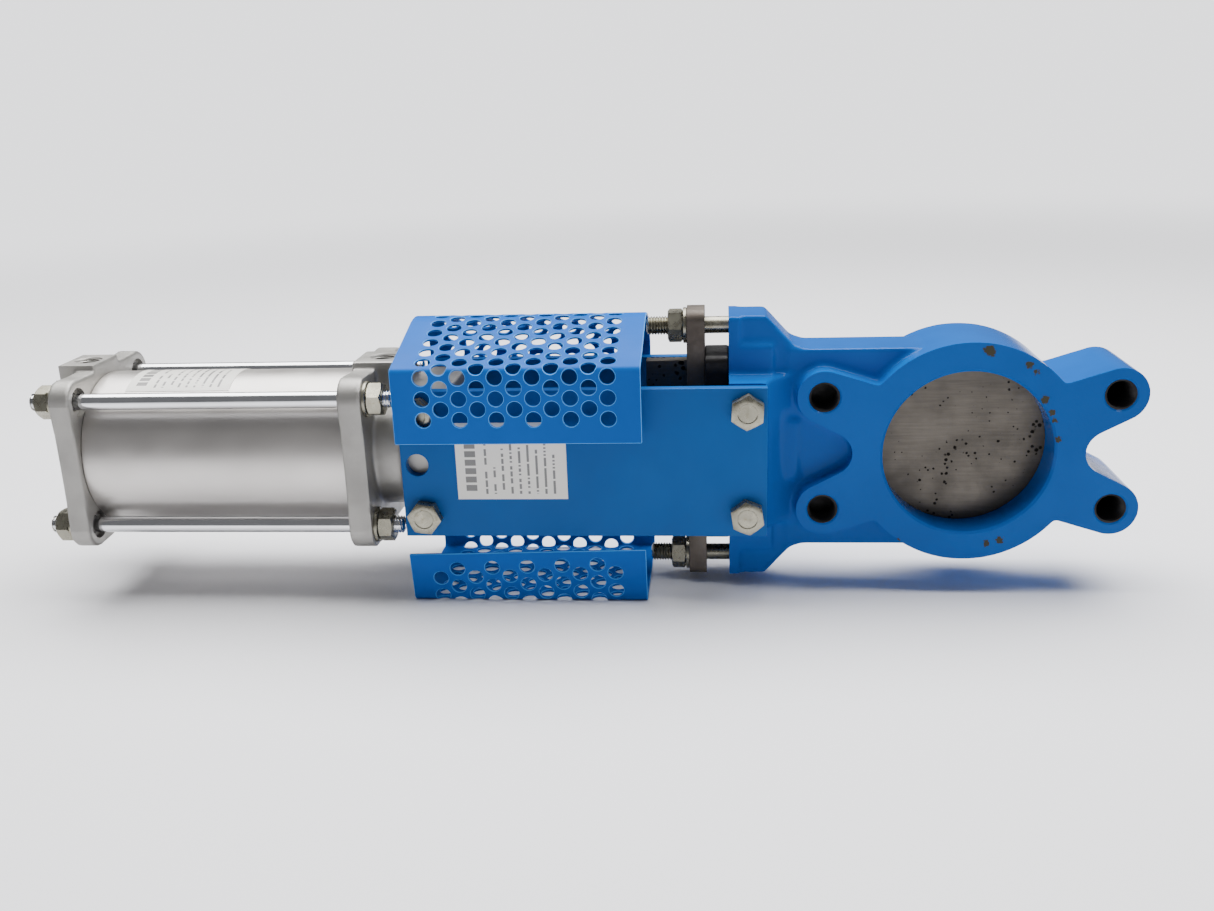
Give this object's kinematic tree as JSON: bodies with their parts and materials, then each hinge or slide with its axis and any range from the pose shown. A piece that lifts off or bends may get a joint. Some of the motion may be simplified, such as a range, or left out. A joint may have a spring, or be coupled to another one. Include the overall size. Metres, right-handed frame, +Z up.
{
  "type": "knife gate valve",
  "caption": "Pneumatic knife gate valve: lugged cast body with a sliding blade, bolted yoke with perforated guards, and a tie-rod cylinder.",
  "frame": {"origin": "centre of the port, half way between the two port faces and in the middle of the four pipe bolt holes", "axes": "+X along the stem from the actuator towards the port end, +Y along the pipe to the back face, +Z up as it lies on its lower guard"},
  "size_m": [0.585, 0.0986, 0.153],
  "materials": {
    "body_enamel": "gloss enamel on cast iron",
    "plate_paint": "satin powder coat",
    "guard_paint": "satin powder coat",
    "gate_steel": "brushed stainless with pits",
    "gland_metal": "shot blasted stainless",
    "dark_metal": "blackened casting",
    "fastener_zinc": "zinc plated",
    "rod_chrome": "polished",
    "cast_head": "bead blasted casting",
    "barrel_steel": "satin tube",
    "bronze": "sintered bronze",
    "seal_rubber": "matt",
    "packing_fibre": "braided fibre",
    "ptfe": "matt",
    "label_paper": "satin film"
  },
  "bodies": {
    "valve_frame": {"valve_body": "body_enamel", "seat_seal": "seal_rubber", "seat_retainer": "gate_steel", "packing_ring_inner": "packing_fibre", "packing_ring_middle": "packing_fibre", "packing_ring_outer": "packing_fibre", "gland_bush": "dark_metal", "gland_flange": "gland_metal", "gland_studs": "fastener_zinc", "gland_washers": "fastener_zinc", "gland_nuts": "fastener_zinc", "yoke_plate_front": "plate_paint", "yoke_plate_back": "plate_paint", "yoke_body_bolts": "fastener_zinc", "yoke_head_bolts": "fastener_zinc", "guard_upper": "guard_paint", "guard_lower": "guard_paint", "cylinder_barrel": "barrel_steel", "barrel_orings": "seal_rubber", "rod_end_head": "cast_head", "blind_end_head": "cast_head", "rod_bush": "bronze", "rod_seal": "seal_rubber", "rod_wiper": "seal_rubber", "tie_rods": "rod_chrome", "tie_rod_washers": "fastener_zinc", "tie_rod_nuts": "fastener_zinc", "data_label": "label_paper", "cylinder_label": "label_paper"},
    "gate_stem": {"gate_blade": "gate_steel", "gate_clevis": "gland_metal", "clevis_pin": "fastener_zinc", "clevis_circlip": "dark_metal", "rod_lock_nut": "fastener_zinc", "piston_rod": "rod_chrome", "piston": "cast_head", "piston_seals": "seal_rubber", "piston_wear_ring": "ptfe", "piston_nut": "fastener_zinc"}
  },
  "joints": [
    {"name": "gate_slide", "type": "slide", "parent": "valve_frame", "child": "gate_stem", "axis": [-1, 0, 0], "range_m": [0, 0.088]}
  ]
}
